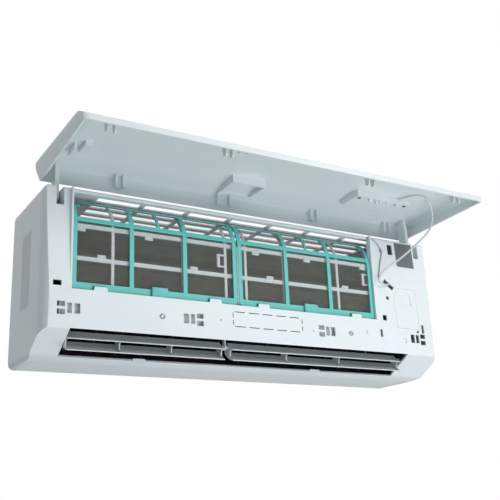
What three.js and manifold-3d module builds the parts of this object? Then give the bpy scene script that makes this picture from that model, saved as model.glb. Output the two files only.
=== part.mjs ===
// Mini split indoor unit: a wall-hung air conditioner with its front panel swung open.
// Millimetres. X runs along the unit, +Y goes into the wall, +Z is up.
// Heights and depths below are measured from the unit's back bottom edge; the finished group is
// lowered at the end, so that the origin lies at the middle of the mounting plate's wall face.

import * as THREE from 'three';
import { mergeVertices } from 'three/addons/utils/BufferGeometryUtils.js';
import Module from 'manifold-3d';

// ---------------------------------------------------------------- driving dimensions

const unitWidth = 820;
const unitHeight = 280;
const wall = 3;
const fit = 0.4; // gap between two fixed pieces that seat on each other
const edgeRadius = 12; // rounding of the casing's two ends

// side section of the casing, as depths from the wall and heights
const faceTopDepth = 174;
const faceFootDepth = 185.5;
const faceFootHeight = 60;
const outletTopDepth = 183;
const outletTopHeight = 39.5;
const lipDepth = 122;
const lipHeight = 4.5;
const bottomFrontDepth = 98;

// filter opening in the face
const filterLeft = -362;
const filterRight = 257;
const filterSill = 104;
const railHeight = 8;

// outlet opening
const outletLeft = -363;
const outletRight = 329;

// air duct: fan, scroll and duct axis
const fanDepth = 86;
const fanHeight = 108;
const fanRadius = 44;
const fanLeft = -366;
const fanRight = 322;
const scrollStart = 50; // degrees above the horizontal, behind the fan
const scrollEnd = -62;
const scrollGap = 4;
const scrollGrowth = 0.185; // millimetres of radius per degree
const ductWall = 2.5;

// inner end walls of the chassis
const endWallLeft = -377.5;
const endWallRight = 331;

// front panel
const panelOverhang = 2.5; // of the panel past the casing's ends
const panelHalfWidth = unitWidth / 2 + panelOverhang;
const rimTaper = 12.5;
const panelRimHalfWidth = panelHalfWidth - rimTaper;
const panelTop = 290;
const panelBottom = 53;
const panelWall = 3;
const panelCrownDepth = 227.5;
const hingeDepth = 139.2;
const hingeHeight = 267.6;
const panelOpenAngle = 90;
const armOffset = 383;

// mounting plate
const plateThickness = 1.5;
const plateHalfWidth = 270;
const plateLow = 84;
const plateHigh = 256;
const plateMiddle = (plateLow + plateHigh) / 2;

// ---------------------------------------------------------------- solids

const wasm = await Module();
wasm.setup();

const rad = THREE.MathUtils.degToRad;
const axisX = new THREE.Vector3(1, 0, 0);
const axisY = new THREE.Vector3(0, 1, 0);
const axisZ = new THREE.Vector3(0, 0, 1);
const sideFrame = new THREE.Matrix4().makeBasis(axisY, axisZ, axisX);
const frontFrame = new THREE.Matrix4().makeBasis(axisX, axisZ, axisY.clone().negate());

function solid(geometry) {
  const bare = geometry.index ? geometry.toNonIndexed() : geometry.clone();
  bare.deleteAttribute('normal');
  bare.deleteAttribute('uv');
  const merged = mergeVertices(bare, 1e-4);
  const corners = merged.index.array;
  const kept = [];
  for (let i = 0; i < corners.length; i += 3) {
    const [a, b, c] = corners.slice(i, i + 3);
    if (a !== b && b !== c && c !== a) kept.push(a, b, c);
  }
  return new wasm.Manifold(new wasm.Mesh({
    numProp: 3,
    vertProperties: merged.attributes.position.array,
    triVerts: new Uint32Array(kept),
  }));
}

function geometryOf(body) {
  const mesh = body.getMesh();
  const geometry = new THREE.BufferGeometry();
  geometry.setAttribute('position', new THREE.BufferAttribute(mesh.vertProperties, 3));
  geometry.setIndex(new THREE.BufferAttribute(mesh.triVerts, 1));
  return geometry;
}

function joined(bodies) {
  return bodies.reduce((all, body) => all.add(body));
}

// corners are [u, v] or [u, v, setback]; a setback rounds that corner
function outline(corners, inset = 0) {
  const count = corners.length;
  const points = corners.map(([u, v, setback = 0], i) => {
    const [pu, pv] = corners[(i + count - 1) % count];
    const [nu, nv] = corners[(i + 1) % count];
    const before = new THREE.Vector2(u - pu, v - pv).normalize();
    const after = new THREE.Vector2(nu - u, nv - v).normalize();
    const inward = new THREE.Vector2(-before.y - after.y, before.x + after.x);
    inward.divideScalar(1 + before.dot(after));
    return { at: new THREE.Vector2(u, v).addScaledVector(inward, inset), setback };
  });
  const shape = new THREE.Shape();
  points.forEach(({ at, setback }, i) => {
    const before = points[(i + count - 1) % count].at;
    const after = points[(i + 1) % count].at;
    const room = 0.45 * Math.min(at.distanceTo(before), at.distanceTo(after));
    const reach = Math.min(Math.max(setback - inset, 0), room);
    const start = towards(at, before, reach);
    const end = towards(at, after, reach);
    if (i === 0) shape.moveTo(start.x, start.y);
    else shape.lineTo(start.x, start.y);
    if (reach > 0) shape.quadraticCurveTo(at.x, at.y, end.x, end.y);
  });
  return shape;
}

function towards(from, to, distance) {
  return to.clone().sub(from).setLength(distance).add(from);
}

function extruded(shape, frame, low, high, steps = 4) {
  const settings = { depth: high - low, curveSegments: steps, bevelEnabled: false };
  const geometry = new THREE.ExtrudeGeometry(shape, settings);
  geometry.translate(0, 0, low);
  return solid(geometry.applyMatrix4(frame));
}

// a side outline in (y, z), run along X
function alongX(shape, left, right, steps) {
  return extruded(shape, sideFrame, left, right, steps);
}

// a front outline in (x, z), run back from the depth `front` to the depth `back`
function throughFace(shape, front, back, steps) {
  return extruded(shape, frontFrame, back, front, steps);
}

// a plan outline in (x, y), run up Z
function alongZ(shape, low, high, steps) {
  return extruded(shape, new THREE.Matrix4(), low, high, steps);
}

function box(left, right, front, back, low, high) {
  const geometry = new THREE.BoxGeometry(right - left, front - back, high - low);
  geometry.translate((left + right) / 2, -(front + back) / 2, (low + high) / 2);
  return solid(geometry);
}

function rodX(depth, height, radius, left, right, sides = 12) {
  const geometry = new THREE.CylinderGeometry(radius, radius, right - left, sides);
  geometry.rotateZ(Math.PI / 2);
  geometry.translate((left + right) / 2, -depth, height);
  return solid(geometry);
}

function rodY(x, height, radius, front, back, sides = 12) {
  const geometry = new THREE.CylinderGeometry(radius, radius, front - back, sides);
  geometry.translate(x, -(front + back) / 2, height);
  return solid(geometry);
}

function tube(points, radius, sides, steps) {
  const ring = new THREE.Shape();
  for (let i = 0; i < sides; i += 1) {
    const angle = (i / sides) * 2 * Math.PI;
    const method = i === 0 ? 'moveTo' : 'lineTo';
    ring[method](radius * Math.cos(angle), radius * Math.sin(angle));
  }
  const path = new THREE.CatmullRomCurve3(points.map((p) => new THREE.Vector3(...p)));
  return solid(new THREE.ExtrudeGeometry(ring, { steps, extrudePath: path, bevelEnabled: false }));
}

// a band along a line of points, from one offset to another on the line's left side
function strip(points, from, to) {
  const line = points.map(([u, v]) => new THREE.Vector2(u, v));
  const side = (offset) => line.map((point, i) => {
    const before = (line[i - 1] ? point.clone().sub(line[i - 1]) : line[1].clone().sub(point)).normalize();
    const after = (line[i + 1] ? line[i + 1].clone().sub(point) : before.clone()).normalize();
    const left = new THREE.Vector2(-before.y - after.y, before.x + after.x);
    left.divideScalar(1 + before.dot(after));
    return point.clone().addScaledVector(left, offset);
  });
  return new THREE.Shape([...side(from), ...side(to).reverse()]);
}

function arc(centreU, centreV, radius, start, end, count) {
  return Array.from({ length: count + 1 }, (_, i) => {
    const angle = rad(start + ((end - start) * i) / count);
    return [centreU + radius * Math.cos(angle), centreV + radius * Math.sin(angle)];
  });
}

// ---------------------------------------------------------------- materials and nodes

const finishes = {
  casing: { color: 0xe1e8eb, roughness: 0.45, metalness: 0 },
  panel: { color: 0xdbe3e7, roughness: 0.35, metalness: 0 },
  grille: { color: 0xe4eaec, roughness: 0.5, metalness: 0 },
  chassis: { color: 0xc9d0d2, roughness: 0.55, metalness: 0 },
  duct: { color: 0x1b1c1e, roughness: 0.7, metalness: 0 },
  foam: { color: 0xdfe3e2, roughness: 0.85, metalness: 0 },
  fins: { color: 0x6a6c65, roughness: 0.45, metalness: 0.7 },
  zinc: { color: 0xaab0b3, roughness: 0.4, metalness: 0.8 },
  copper: { color: 0xb06a42, roughness: 0.35, metalness: 0.9 },
  fan: { color: 0x2a2c2e, roughness: 0.55, metalness: 0 },
  motor: { color: 0x8d9296, roughness: 0.4, metalness: 0.6 },
  rubber: { color: 0x202122, roughness: 0.9, metalness: 0 },
  louver: { color: 0xd9e0e3, roughness: 0.45, metalness: 0 },
  filter: { color: 0x5fcac6, roughness: 0.5, metalness: 0 },
  net: { color: 0x9fb4b6, roughness: 0.8, metalness: 0 },
  board: { color: 0x2c6a45, roughness: 0.6, metalness: 0 },
  terminal: { color: 0x2f3436, roughness: 0.6, metalness: 0 },
  screw: { color: 0xb7bdc0, roughness: 0.35, metalness: 0.85 },
  wire: { color: 0xd5dadb, roughness: 0.6, metalness: 0 },
  darkWire: { color: 0x9aa3a6, roughness: 0.6, metalness: 0 },
};

const unit = new THREE.Group();
unit.position.z = -plateMiddle;

function node(name, body, finish, parent = unit) {
  const mesh = new THREE.Mesh(geometryOf(body), new THREE.MeshStandardMaterial(finishes[finish]));
  mesh.name = name;
  parent.add(mesh);
  return mesh;
}

// ---------------------------------------------------------------- casing

const half = unitWidth / 2;
const beyondWall = -20; // the section runs past the wall plane and is cut there

const casingCorners = [
  [-outletTopDepth, outletTopHeight, 3],
  [-lipDepth, lipHeight, 6],
  [-bottomFrontDepth, 0, 8],
  [-beyondWall, 0],
  [-beyondWall, unitHeight],
  [-faceTopDepth, unitHeight, 6],
  [-faceFootDepth, faceFootHeight, 10],
];

// depth of the face's outer surface at a height
function faceDepth(height) {
  const share = (unitHeight - height) / (unitHeight - faceFootHeight);
  return faceTopDepth + share * (faceFootDepth - faceTopDepth);
}

// one outline closed over to the other side of the unit
function mirrored(corners) {
  return corners.concat(corners.map(([u, ...rest]) => [-u, ...rest]).reverse());
}

const casingPlanCorners = mirrored([
  [-half, -beyondWall],
  [-half, -faceTopDepth + edgeRadius / 2, edgeRadius],
  [-half + edgeRadius, -faceFootDepth - 1, edgeRadius],
]);

const casingFrontCorners = mirrored([
  [-half, unitHeight, edgeRadius],
  [-half, 0, edgeRadius],
]);

// the casing's outside, or with an inset its inside: three outlines that bound one another
function casingBlock(inset) {
  const side = alongX(outline(casingCorners, inset), -half, half, 3);
  const plan = alongZ(outline(casingPlanCorners, inset), -10, unitHeight + 10, 3);
  const front = throughFace(outline(casingFrontCorners, inset), 300, 2 * beyondWall, 3);
  return side.intersect(plan).intersect(front);
}

function casingShell() {
  const hollow = casingBlock(0).subtract(casingBlock(wall));
  return hollow.subtract(box(-half - 1, half + 1, 0.6, 2 * beyondWall, -1, unitHeight + 1));
}

// a hole straight through the face wall, from x0 to x1 and z0 to z1
function faceHole(x0, x1, z0, z1) {
  const middle = faceDepth((z0 + z1) / 2);
  return box(x0, x1, middle + wall, middle - 2 * wall, z0, z1);
}

const filterTop = unitHeight - railHeight;

// air slots of the top, in rows from front to back
const slotLength = 80;
const slotPitch = 88;
const slotWidth = 20;
const slotRows = [42, 72, 102, 132];
const slotColumns = 7;

const outletCorners = [
  [-outletTopDepth - 20, outletTopHeight - 20],
  [-lipDepth - 12, lipHeight - 24],
  [-lipDepth - 1, lipHeight],
  [-lipDepth + 8, lipHeight + 16],
  [-outletTopDepth + 12, outletTopHeight + 20],
  [-outletTopDepth + 0.5, outletTopHeight],
];

// the groups of windows that the panel's latches enter; hand tells which way a group faces
const latchGroups = [
  { centre: -half + 43, hand: 1 },
  { centre: -147, hand: -1 },
  { centre: 133, hand: 1 },
  { centre: half - 52, hand: -1 },
];
const latchSingles = [[-2.5, 5.5], [9, 19]]; // the two windows that take a tongue

function span({ centre, hand }, from, to) {
  const ends = [centre + hand * from, centre + hand * to];
  return [Math.min(...ends), Math.max(...ends)];
}

function latchWindows(group) {
  return [
    faceHole(...span(group, -19, -6), 73, 82),
    faceHole(...span(group, -19, -6), 60, 69),
    ...latchSingles.map(([from, to]) => faceHole(...span(group, from, to), 63, 80)),
  ];
}

const screwSpots = [-206, 189];
const screwHeight = 71;
const buttonSpot = [231, 77];
const capSpot = [322, 65.5];
const pillarHoles = [
  [-393, -379, 107, 116],
  [307, 320, 246, 268],
  [255.5, 264, 277 - railHeight / 2, 277],
  [286, 290, 247, 258],
  [273, 283, 104, 115],
  [262, 268, 70, 85],
  [357, 363, 84, 88.6],
  [371, 377, 84, 102],
];

// service cover over the terminals, its top inner corner cut off
const coverLeft = 308;
const coverRight = 366;
const coverLow = 91;
const coverHigh = 175;

function coverShape(inset) {
  return outline([
    [coverLeft, coverLow, 4],
    [coverRight, coverLow, 4],
    [coverRight, coverHigh, 4],
    [coverLeft + 12, coverHigh, 2],
    [coverLeft, coverHigh - 20, 2],
  ], inset);
}

const cableSlot = { x: 298, z: 180, length: 27, width: 9, tilt: -36 };

function cableSlotCut() {
  const geometry = new THREE.BoxGeometry(cableSlot.length, 4 * wall, cableSlot.width);
  geometry.rotateY(-rad(cableSlot.tilt));
  geometry.translate(cableSlot.x, -faceDepth(cableSlot.z), cableSlot.z);
  return solid(geometry);
}

// retaining tongues that stand in the notches of the filters
const filterWidth = 307;
const filterPlay = 0.8; // between a filter and its guide
const filterStarts = [filterLeft + filterPlay, filterRight - filterPlay - filterWidth];
const tongueOffsets = [filterWidth / 2 - 117, filterWidth / 2 + 94];
const tongueWidth = 23;
const tongueTop = 111;
const filterDepth = 176;
const filterThickness = 3;
const guideDepth = filterDepth - 6;

function tongue(left) {
  const front = faceDepth(filterSill);
  const right = left + tongueWidth;
  const low = filterSill - 4;
  const shape = outline([[left, low], [right, low], [right, tongueTop, 3], [left, tongueTop, 3]]);
  return throughFace(shape, front - 0.5, front - wall);
}

// slots that the panel's arms swing in, with a bored cheek on each side
const armThickness = 7;
const slotGap = 3;
const slotBottom = 246;
const slotBack = hingeDepth - 14;
const pivotRadius = 3;
const cheek = 2.5;

function armSlot(side) {
  const inner = side * armOffset - armThickness / 2 - slotGap;
  const outer = side * armOffset + armThickness / 2 + slotGap;
  return box(inner, outer, faceTopDepth + 20, slotBack, slotBottom, unitHeight + 5);
}

function armCheeks(side) {
  const middle = side * armOffset;
  const reach = armThickness / 2 + slotGap;
  const plates = [-1, 1].map((hand) => {
    const face = middle + hand * reach;
    const low = Math.min(face, face + hand * cheek);
    return box(low, low + cheek, faceDepth(hingeHeight) - 1, slotBack, slotBottom - 6, unitHeight - 1);
  });
  const bore = rodX(hingeDepth, hingeHeight, pivotRadius + fit, middle - reach - 4, middle + reach + 4);
  return joined(plates).subtract(bore);
}

const lipTabs = [-221, 142.5];

function faceFrame() {
  let body = casingShell();
  for (const side of [filterLeft - wall, filterRight]) {
    const top = unitHeight - wall / 2;
    const front = faceDepth(filterSill) - 1;
    body = body.add(box(side, side + wall, front, guideDepth, filterSill - 2, top));
  }
  for (const side of [-1, 1]) body = body.add(armCheeks(side));
  body = body.subtract(box(filterLeft, filterRight, 200, 150, filterSill, filterTop));
  for (const depth of slotRows) {
    for (let i = 0; i < slotColumns; i += 1) {
      const left = (i - slotColumns / 2) * slotPitch;
      const slot = [left, left + slotLength, depth + slotWidth, depth];
      body = body.subtract(box(...slot, unitHeight - 2 * wall, unitHeight + 1));
    }
  }
  body = body.subtract(alongX(outline(outletCorners), outletLeft, outletRight));
  body = body.subtract(box(-half + 15, half - 15, bottomFrontDepth - 1, -1, -1, 2 * wall));
  for (const side of [-1, 1]) body = body.subtract(armSlot(side));
  for (const start of filterStarts) {
    for (const offset of tongueOffsets) body = body.add(tongue(start + offset));
  }
  for (const group of latchGroups) {
    for (const hole of latchWindows(group)) body = body.subtract(hole);
  }
  for (const [x0, x1, z0, z1] of pillarHoles) body = body.subtract(faceHole(x0, x1, z0, z1));
  for (const x of screwSpots) body = body.subtract(screwRecess(x));
  const [bx, bz] = buttonSpot;
  body = body.subtract(rodY(bx, bz, buttonRadius + fit, 200, 170, 12));
  const [cx, cz] = capSpot;
  body = body.subtract(rodY(cx, cz, capRadius + fit, 200, 170, 12));
  body = body.subtract(throughFace(coverShape(0), 200, 160));
  body = body.subtract(cableSlotCut());
  body = body.subtract(rodY(291.5, 151.5, 4, 200, 160, 10));
  for (const x of lipTabs) {
    const tab = box(x - 11, x + 11, lipDepth + 1, lipDepth - 3, lipHeight - 1, lipHeight + 5);
    body = body.add(tab);
  }
  return body;
}

const screwHeadRadius = 4;
const screwShank = 1.8;
const buttonRadius = 3.4;
const capRadius = 4.6;

// a dished seat for the screw head, with the shank's hole through it
function screwRecess(x) {
  const front = faceDepth(screwHeight);
  const dish = rodY(x, screwHeight, screwHeadRadius + 1.6, front + 1, front - 1.6, 14);
  return dish.add(rodY(x, screwHeight, screwShank + fit, front + 1, front - 2 * wall, 10));
}

function frameScrew(x) {
  const seat = faceDepth(screwHeight) - 1.6 + fit;
  const profile = [[0, 0], [screwHeadRadius, 0], [screwHeadRadius, 0.8], [2.4, 1.9], [0, 1.9]];
  const head = new THREE.LatheGeometry(profile.map(([r, h]) => new THREE.Vector2(r, h)), 12);
  head.rotateX(Math.PI);
  head.translate(x, -seat, screwHeight);
  return solid(head).add(rodY(x, screwHeight, screwShank, seat + 0.5, seat - 18, 8));
}

node('front_frame', faceFrame(), 'casing');
screwSpots.forEach((x, i) => node(`frame_screw_${i + 1}`, frameScrew(x), 'screw'));

// service cover: the piece of the same wall that fills its opening, with a thumb dimple
function serviceCover() {
  const slab = casingShell().intersect(throughFace(coverShape(fit), 200, 160));
  const dimple = outline([[322, 140], [352, 140], [350, 165, 12], [324, 171, 10]]);
  const front = faceDepth(155);
  return slab.subtract(throughFace(dimple, front + 3, front - 1.2));
}

node('service_cover', serviceCover(), 'casing');

function screwCap() {
  const [x, z] = capSpot;
  const front = faceDepth(z);
  return rodY(x, z, capRadius, front - 1, front - wall - 4, 12);
}

node('screw_cap', screwCap(), 'casing');


function manualButton() {
  const [x, z] = buttonSpot;
  const front = faceDepth(z);
  const inside = front - wall - fit;
  const travel = 1.5;
  const cap = rodY(x, z, buttonRadius, front + travel - 0.3, inside - 2.8, 12);
  return cap.add(rodY(x, z, buttonRadius + 1.6, inside, inside - 1.2, 12));
}

node('manual_button', manualButton(), 'casing');

// ---------------------------------------------------------------- chassis and its scroll

const backFront = 12; // depths of the chassis back wall
const backRear = 9.5;
const backLow = 76;
const backHigh = 272;
const chassisGap = 15; // from the casing's end to the chassis
const chassisHalf = half - chassisGap;
const endWallTop = 168;
const coilFeetFront = 132.6;
const panFront = 176;
const panTop = 97;
const channelDepth = 50;
const ductWallLeft = endWallLeft - ductWall;
const ductWallRight = endWallRight + ductWall;
const scrollFoot = [-117, 9.6];

// duct axes: s runs up into the duct, t across it, both at right angles to the unit's length
const ductTilt = rad(33.8);
const ductDepth = 150;
const ductHeight = 28;
const ductAlong = new THREE.Vector3(0, Math.cos(ductTilt), Math.sin(ductTilt));
const ductAcross = new THREE.Vector3(0, -Math.sin(ductTilt), Math.cos(ductTilt));
const ductFrame = new THREE.Matrix4().makeBasis(ductAlong, ductAcross, axisX);
ductFrame.setPosition(0, -ductDepth, ductHeight);

function inDuct(corners, left, right) {
  return extruded(outline(corners), ductFrame, left, right);
}

function rodAcross(x, s, radius, from, to, sides = 8) {
  const geometry = new THREE.CylinderGeometry(radius, radius, to - from, sides);
  geometry.translate(s, (from + to) / 2, x);
  return solid(geometry.applyMatrix4(ductFrame));
}

function scrollLine() {
  const steps = 12;
  const line = Array.from({ length: steps + 1 }, (_, i) => {
    const angle = scrollStart + ((scrollEnd - scrollStart) * i) / steps;
    const radius = fanRadius + scrollGap + scrollGrowth * (scrollStart - angle);
    return [
      -fanDepth + radius * Math.cos(rad(angle)),
      fanHeight + radius * Math.sin(rad(angle)),
    ];
  });
  return [...line, scrollFoot];
}

const endWallCorners = [
  [-backFront, backLow],
  [-backFront, endWallTop],
  [-coilFeetFront, endWallTop],
  [-coilFeetFront, 98.5],
  [-panFront, 98.5],
  [-panFront, 43],
  [-121, 9.5],
  [-98, 5],
  [-96.6, 3.6],
  [-96.6, 1],
  [-channelDepth, 1],
  [-channelDepth, 72],
];

// pivots of the louvre and of the vanes
const louverDepth = ductDepth;
const louverHeight = 34;
const louverPin = 2.5;
const vanePitch = 46;
const vanesPerSide = 7;
const vaneStarts = [-348, -16];
const vanePivot = 36; // along the duct
const vanePin = 2;
const vaneFoot = -26; // across the duct
const pinFoot = -35;

function vanePlaces(start) {
  return Array.from({ length: vanesPerSide }, (_, i) => start + i * vanePitch);
}

const hookSpots = [-215, 215];
const hookSlotHalf = 15;
const hookSlotTop = 246;

function motorCradle(left) {
  return box(left, left + 4, 130, backFront - 1, 66, fanHeight);
}

function rearChassis() {
  let body = box(-chassisHalf, chassisHalf, backFront, backRear, backLow, backHigh);
  body = body.add(box(-chassisHalf, chassisHalf, 30, 2, backHigh - 0.5, backHigh + 2));
  body = body.add(box(1 - chassisHalf, chassisHalf - 1, bottomFrontDepth - 1.4, 2, fit, wall));
  body = body.add(alongX(strip(scrollLine(), 0, ductWall), ductWallLeft, ductWallRight));
  body = body.add(box(ductWallLeft, ductWallRight, 33, backRear + 1, backLow - 2.5, backLow + 0.5));
  body = body.add(box(ductWallLeft, ductWallRight, 52, backFront - 1, 156, 158.5));
  body = body.add(box(ductWallLeft, ductWallRight, 52, 49.5, 150, 166));
  const link = outline([[-57, 142], [-49.5, 141], [-49.5, 158], [-52, 158]]);
  body = body.add(alongX(link, ductWallLeft, ductWallRight));
  const endWall = outline(endWallCorners);
  body = body.add(alongX(endWall, ductWallLeft, endWallLeft));
  body = body.add(alongX(endWall, endWallRight, ductWallRight));
  const underRib = outline([[-channelDepth, 1], [-96, 1], [-96, 21], [-55, 45], [-channelDepth, 50]]);
  const backRib = outline([[-11, 75], [-11, 158], [-45, 158], [-34, 120], [-27, 100], [-31, 75]]);
  for (const x of [-250, -80, 90, 260]) {
    body = body.add(alongX(underRib, x, x + 2));
    body = body.add(alongX(backRib, x, x + 2));
  }
  for (const x of [-345, -200, -30, 140, 282]) {
    body = body.subtract(box(x, x + 36, backFront + 1, backRear - 1, 96, 138));
  }
  for (const left of [342, 384]) body = body.add(motorCradle(left));
  for (const x of [-240, -120, 120, 240]) {
    body = body.add(box(x - 8, x + 8, backRear + 0.5, plateThickness + fit, 96, 112));
  }
  body = body.subtract(rodX(fanDepth, fanHeight, 38.4, 340, 392, 24));
  body = body.subtract(rodX(fanDepth, fanHeight, 12, ductWallLeft - 1, endWallLeft + 1, 16));
  body = body.subtract(rodX(fanDepth, fanHeight, 10, endWallRight - 1, ductWallRight + 1, 16));
  for (const [left, right] of [[ductWallLeft - 1, endWallLeft + 1], [endWallRight - 1, ductWallRight + 1]]) {
    body = body.subtract(rodX(louverDepth, louverHeight, louverPin + 0.5, left, right, 12));
  }
  for (const start of vaneStarts) {
    for (const x of vanePlaces(start)) {
      body = body.subtract(rodAcross(x, vanePivot, vanePin + 2 * fit, -45, -30, 6));
    }
  }
  for (const x of hookSpots) {
    const slot = box(x - hookSlotHalf, x + hookSlotHalf, 20, 5, 238, hookSlotTop);
    body = body.subtract(slot);
  }
  return body;
}

node('rear_chassis', rearChassis(), 'chassis');

// wall plate with two hooks that the chassis hangs on
function mountingPlate() {
  let body = box(-plateHalfWidth, plateHalfWidth, plateThickness, 0, plateLow, plateHigh);
  for (const x of [-120, 120]) {
    for (const z of [plateLow + 20, plateHigh - 20]) body = body.subtract(rodY(x, z, 5, 3, -1, 8));
  }
  for (const x of [-252, -142, -48, 48, 142, 252]) {
    body = body.subtract(box(x - 11, x + 11, 3, -1, plateMiddle - 60, plateMiddle - 44));
    body = body.subtract(box(x - 11, x + 11, 3, -1, plateMiddle + 44, plateMiddle + 60));
  }
  const armTop = hookSlotTop - fit;
  const tip = backFront + 3;
  for (const x of hookSpots) {
    body = body.add(box(x - 12, x + 12, tip, 0.5, armTop - 2, armTop));
    body = body.add(box(x - 12, x + 12, tip, tip - 2.2, armTop - 2, armTop + 5));
  }
  return body;
}

node('mounting_plate', mountingPlate(), 'zinc');

// ---------------------------------------------------------------- drain pan

const panLeft = endWallLeft + fit;
const panRight = endWallRight - fit;
const panWall = 2.5;

const panCorners = [
  [-129, 72],
  [-131, 84],
  [-131, panTop],
  [-134, panTop],
  [-134, 80],
  [-150, 72],
  [-panFront + panWall, 66],
  [-panFront + panWall, panTop],
  [-panFront, panTop],
  [-panFront, 46],
  [-panFront + 2, 46],
  [-150, 62],
];

function drainPan() {
  let body = alongX(outline(panCorners), panLeft, panRight);
  const end = outline([[-panFront, 48], [-150, 63], [-130, 73], [-131, panTop], [-panFront, panTop]]);
  body = body.add(alongX(end, panLeft, panLeft + panWall));
  body = body.add(alongX(end, panRight - panWall, panRight));
  for (const x of screwSpots) {
    const front = faceDepth(screwHeight) - wall - fit;
    body = body.add(rodY(x, screwHeight, 5, front, 160, 12));
    body = body.subtract(rodY(x, screwHeight, screwShank + fit, front + 1, 164, 10));
  }
  return body;
}

node('drain_pan', drainPan(), 'foam');

// ---------------------------------------------------------------- evaporator

const coilLeft = -360;
const coilRight = 296;
const finCount = 10;
const finThickness = 1;
const coilTube = 4;

// centre line of each coil block in (depth, height), and its thickness
const coils = {
  evaporator_lower: { foot: [148, 102], head: [148, 172], thickness: 24 },
  evaporator_upper: { foot: [142, 181], head: [92, 234], thickness: 24 },
  evaporator_rear: { foot: [36, 178], head: [64, 234], thickness: 18 },
};

function coilPoint({ foot, head }, share) {
  return [
    foot[0] + (head[0] - foot[0]) * share,
    foot[1] + (head[1] - foot[1]) * share,
  ];
}

function coilBlock(coil) {
  const line = [coil.foot, coil.head].map(([depth, height]) => [-depth, height]);
  const fin = strip(line, -coil.thickness / 2, coil.thickness / 2);
  const pitch = (coilRight - coilLeft - finThickness) / (finCount - 1);
  const parts = [0.25, 0.75].map((share) => {
    return rodX(...coilPoint(coil, share), coilTube, coilLeft + 0.2, coilRight - 0.2, 4);
  });
  for (let i = 0; i < finCount; i += 1) {
    const left = coilLeft + i * pitch;
    parts.push(alongX(fin, left, left + finThickness));
  }
  return joined(parts);
}

for (const [name, coil] of Object.entries(coils)) node(name, coilBlock(coil), 'fins');

const tubePlateCorners = [
  [-161, 101],
  [-135, 101],
  [-135, endWallTop + fit],
  [-45, endWallTop + fit],
  [-24, 180],
  [-54, 242],
  [-104, 246],
  [-153, 196],
  [-161, 178],
];

const tubeShares = [0.25, 0.75];

// one return bend, standing on a tube plate: side is the way it points
function returnBend(x, side, [fromDepth, fromHeight], [toDepth, toHeight]) {
  const reach = x + side * 6.5;
  const between = (share) => [
    reach,
    -(fromDepth + (toDepth - fromDepth) * share),
    fromHeight + (toHeight - fromHeight) * share,
  ];
  const foot = x - side * 0.5;
  const line = [
    [foot, -fromDepth, fromHeight],
    [x + side * 3, -fromDepth, fromHeight],
    between(0.2),
    between(0.8),
    [x + side * 3, -toDepth, toHeight],
    [foot, -toDepth, toHeight],
  ];
  return tube(line, 3, 6, 7);
}

// the refrigerant runs through the blocks in turn: the left bends join the two tubes of a block,
// the right ones lead from one block to the next
const [lowerCoil, upperCoil, rearCoil] = Object.values(coils);
const leftBends = [lowerCoil, upperCoil, rearCoil].map((coil) => {
  return tubeShares.map((share) => coilPoint(coil, share));
});
const rightBends = [
  [coilPoint(lowerCoil, tubeShares[1]), coilPoint(upperCoil, tubeShares[0])],
  [coilPoint(upperCoil, tubeShares[1]), coilPoint(rearCoil, tubeShares[1])],
];

function tubePlate(inner, side, bends) {
  const outer = inner + side * 1.5;
  const low = Math.min(inner, outer);
  let body = alongX(outline(tubePlateCorners), low, low + 1.5);
  const wallFace = side < 0 ? ductWallLeft : ductWallRight;
  const ends = [wallFace, inner + side * 0.5].sort((a, b) => a - b);
  body = body.add(box(...ends, 128, 60, endWallTop + fit, endWallTop + fit + 1.5));
  for (const [from, to] of bends) body = body.add(returnBend(outer, side, from, to));
  return body;
}

node('tube_plate_left', tubePlate(coilLeft - fit, -1, leftBends), 'zinc');
node('tube_plate_right', tubePlate(coilRight + fit, 1, rightBends), 'zinc');

// ---------------------------------------------------------------- refrigerant pipes

const pipeEnd = -130;
const pipeStart = coilRight + fit + 1.5 + 0.3;
const pipeBack = 24; // depth of the channel run

// the run every pipe ends with: down behind the motor and left along the channel
function channelRun(turn, drop, low) {
  return [
    [turn, -pipeBack, drop],
    [turn, -pipeBack, (drop + low) / 2],
    [turn - 5, -pipeBack, low + 8],
    [turn - 22, -pipeBack, low],
    [0, -pipeBack, low],
    [pipeEnd, -pipeBack, low],
  ];
}

function gasPipe() {
  const [depth, height] = coilPoint(rearCoil, tubeShares[0]);
  const turn = 358;
  return tube([
    [pipeStart, -depth, height],
    [turn - 20, -depth, height],
    [turn - 3, -(depth + pipeBack) / 2, height - 14],
    ...channelRun(turn, height - 44, 50),
  ], 4.8, 8, 20);
}

function liquidPipe() {
  const [depth, height] = coilPoint(lowerCoil, tubeShares[0]);
  const turn = 374;
  const rise = 190;
  return tube([
    [pipeStart, -depth, height],
    [pipeStart + 5, -depth, height],
    [pipeStart + 15, -depth + 1, height + 12],
    [pipeStart + 15, -depth + 2, rise - 16],
    [pipeStart + 14, -depth + 26, rise],
    [turn - 24, -66, rise],
    [turn - 4, -36, rise - 8],
    ...channelRun(turn, 130, 28),
  ], 3.2, 8, 26);
}

node('gas_pipe', gasPipe(), 'copper');
node('liquid_pipe', liquidPipe(), 'copper');

// ---------------------------------------------------------------- fan

const bladeCount = 12;
const discCount = 3;
const discThickness = 2.4;
const bladeInner = 33;
const hubBore = 5.3;
const shaftRadius = 5;
const stubRadius = 4;
const bearingBore = 4.4;
const motorLeft = 338;
const motorRight = 390;

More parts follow.
